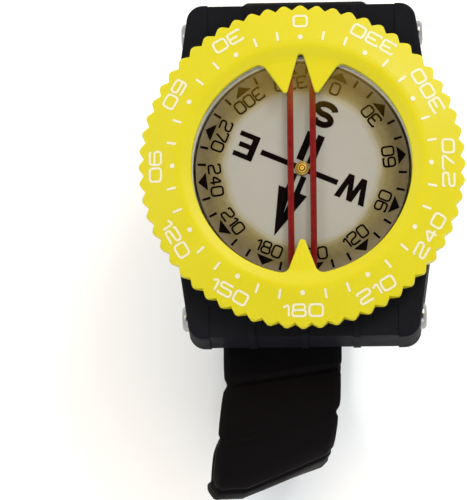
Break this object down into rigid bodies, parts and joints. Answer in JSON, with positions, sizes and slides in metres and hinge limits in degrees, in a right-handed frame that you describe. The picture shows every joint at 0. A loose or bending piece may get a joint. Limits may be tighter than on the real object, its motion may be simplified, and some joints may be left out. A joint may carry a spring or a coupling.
{
  "type": "wrist bearing compass",
  "caption": "Diver's bearing compass: floating card in an oil-filled capsule, toothed rotating bezel with pointers, black lugged housing and buckled rubber wrist strap.",
  "frame": {"origin": "centre of the flat back cover, on the bezel's axis", "axes": "+Z out of the dial, +Y towards the bezel's 0 mark, +X to the right when the dial is read with its 0 mark at the top"},
  "size_m": [0.068, 0.1074, 0.0655],
  "materials": {
    "black_housing": "satin moulded black plastic",
    "stainless": "turned stainless steel",
    "polished_screw": "polished stainless steel",
    "buckle_steel": "satin stainless steel",
    "black_rubber": "moulded black rubber",
    "strap_rubber": "soft black strap rubber",
    "pale_capsule": "translucent pale moulded plastic",
    "clear_dome": "clear polished plastic",
    "red_line": "dark red glossy lines",
    "dial_card": "printed card with an olive ring",
    "magnet_steel": "coated magnet",
    "brass": "turned brass",
    "jewel_stone": "polished bearing stone",
    "yellow_bezel": "satin yellow moulded plastic",
    "drag_plastic": "natural slippery plastic"
  },
  "bodies": {
    "case": {"housing": "black_housing", "back_cover": "black_housing", "back_cover_screws": "stainless", "capsule_pad": "black_rubber", "capsule_base": "pale_capsule", "capsule_seal": "black_rubber", "capsule_dome": "clear_dome", "lubber_lines": "red_line", "expansion_diaphragm": "black_rubber", "diaphragm_ring": "pale_capsule", "filler_plug": "brass", "pivot_pin": "stainless", "bezel_retainer": "stainless", "bezel_drag_ring": "drag_plastic", "click_spring": "stainless", "strap_pin_upper": "stainless", "strap_pin_lower": "stainless", "strap_screws_upper": "polished_screw", "strap_screws_lower": "polished_screw"},
    "card": {"card_disc": "dial_card", "card_float": "pale_capsule", "card_magnets": "magnet_steel", "jewel_cup": "brass", "jewel": "jewel_stone"},
    "rotating_bezel": {"bezel": "yellow_bezel"},
    "long_strap": {"strap_long": "strap_rubber"},
    "short_strap": {"strap_short": "strap_rubber", "buckle_pin": "stainless", "keeper_fixed": "strap_rubber"},
    "buckle": {"buckle_frame": "buckle_steel"},
    "tongue": {"buckle_tongue": "buckle_steel"},
    "free_keeper": {"keeper_free": "strap_rubber"}
  },
  "joints": [
    {"name": "card_spin", "type": "hinge", "parent": "case", "child": "card", "pos_m": [0, 0, 0.013], "axis": [0, 0, 1], "continuous": true},
    {"name": "bezel_spin", "type": "hinge", "parent": "case", "child": "rotating_bezel", "pos_m": [0, 0, 0.0165], "axis": [0, 0, 1], "continuous": true},
    {"name": "strap_long_hinge", "type": "hinge", "parent": "case", "child": "long_strap", "pos_m": [0, -0.0303, 0.0046], "axis": [1, 0, 0], "range_deg": [-5, 30]},
    {"name": "strap_short_hinge", "type": "hinge", "parent": "case", "child": "short_strap", "pos_m": [0, 0.0303, 0.0046], "axis": [1, 0, 0], "range_deg": [-30, 5]},
    {"name": "buckle_hinge", "type": "hinge", "parent": "short_strap", "child": "buckle", "pos_m": [0, 0.011, -0.0429], "axis": [1, 0, 0], "range_deg": [-20, 40]},
    {"name": "tongue_hinge", "type": "hinge", "parent": "buckle", "child": "tongue", "pos_m": [0, 0.011, -0.0429], "axis": [1, 0, 0], "range_deg": [0, 40]},
    {"name": "free_keeper_slide", "type": "slide", "parent": "short_strap", "child": "free_keeper", "axis": [0, -0.67, -0.7423], "range_m": [-0.0035, 0.0028]}
  ]
}
